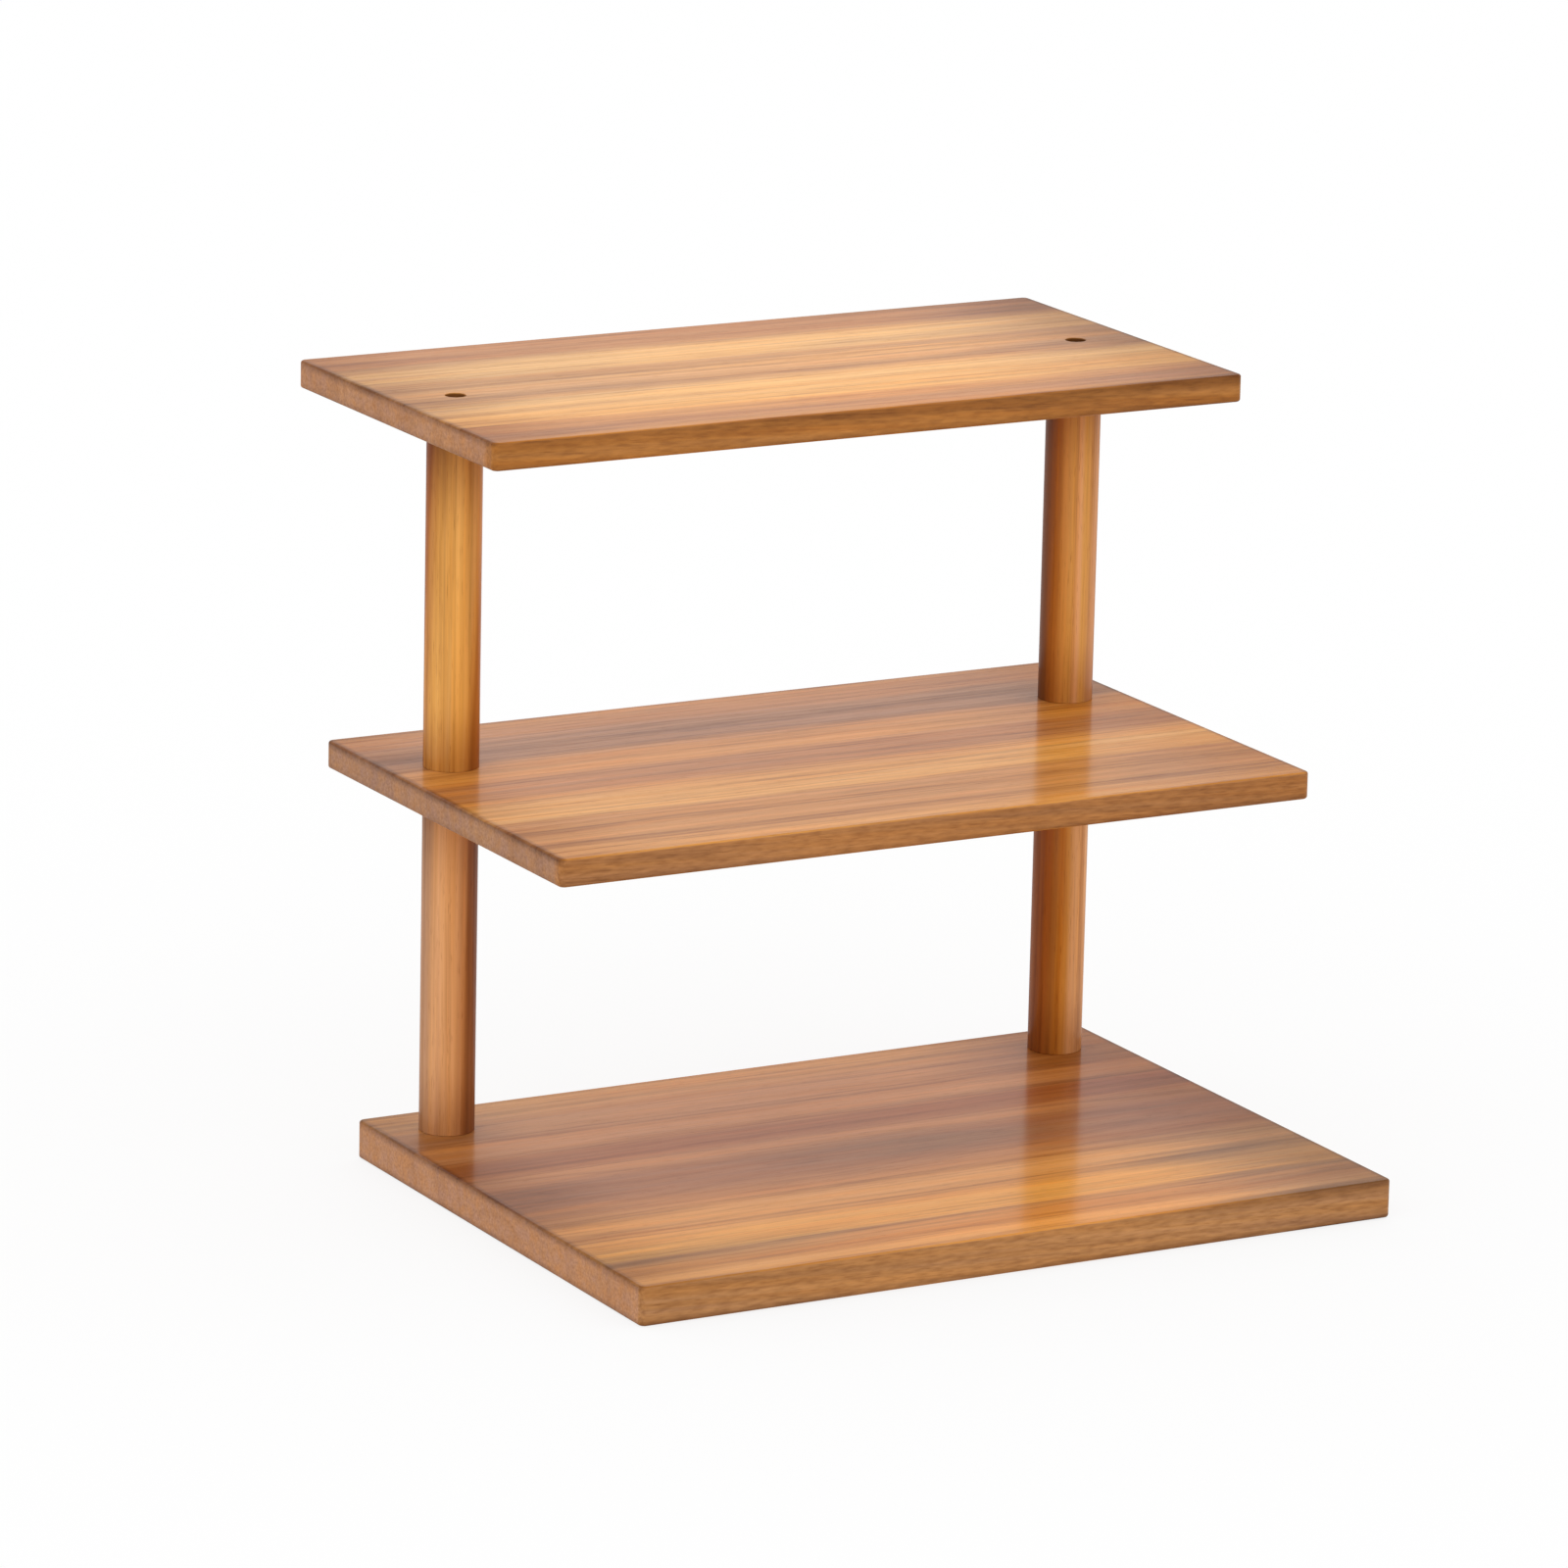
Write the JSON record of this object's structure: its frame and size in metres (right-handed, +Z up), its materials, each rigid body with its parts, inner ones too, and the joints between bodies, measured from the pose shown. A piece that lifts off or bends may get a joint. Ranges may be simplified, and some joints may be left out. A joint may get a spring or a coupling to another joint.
{
  "type": "tiered display rack",
  "caption": "Open wooden countertop display rack: stepped flat shelves of equal length on round posts set near the back, held by recessed screws.",
  "frame": {"origin": "on the base board's underside, in the middle of the rack's overall length and depth", "axes": "+X along the boards towards the right end as seen from the front, +Y towards the back, +Z up"},
  "size_m": [0.3, 0.2724, 0.2818],
  "materials": {
    "base_wood": "striped reddish-brown hardwood under clear satin lacquer",
    "middle_wood": "striped tan hardwood under clear satin lacquer",
    "top_wood": "striped golden hardwood under clear satin lacquer",
    "post_wood": "turned golden-brown hardwood under clear satin lacquer",
    "screw_steel": "black oxide steel",
    "stud_steel": "zinc-plated steel",
    "insert_brass": "plain turned brass"
  },
  "bodies": {
    "root": {"base_board": "base_wood", "middle_shelf": "middle_wood", "top_shelf": "top_wood", "lower_post_left": "post_wood", "lower_post_right": "post_wood", "upper_post_left": "post_wood", "upper_post_right": "post_wood", "top_screw_left": "screw_steel", "top_screw_right": "screw_steel", "base_screw_left": "screw_steel", "base_screw_right": "screw_steel", "middle_stud_left": "stud_steel", "middle_stud_right": "stud_steel", "lower_post_left_foot_insert": "insert_brass", "lower_post_left_head_insert": "insert_brass", "lower_post_right_foot_insert": "insert_brass", "lower_post_right_head_insert": "insert_brass", "upper_post_left_foot_insert": "insert_brass", "upper_post_left_head_insert": "insert_brass", "upper_post_right_foot_insert": "insert_brass", "upper_post_right_head_insert": "insert_brass"}
  },
  "joints": []
}
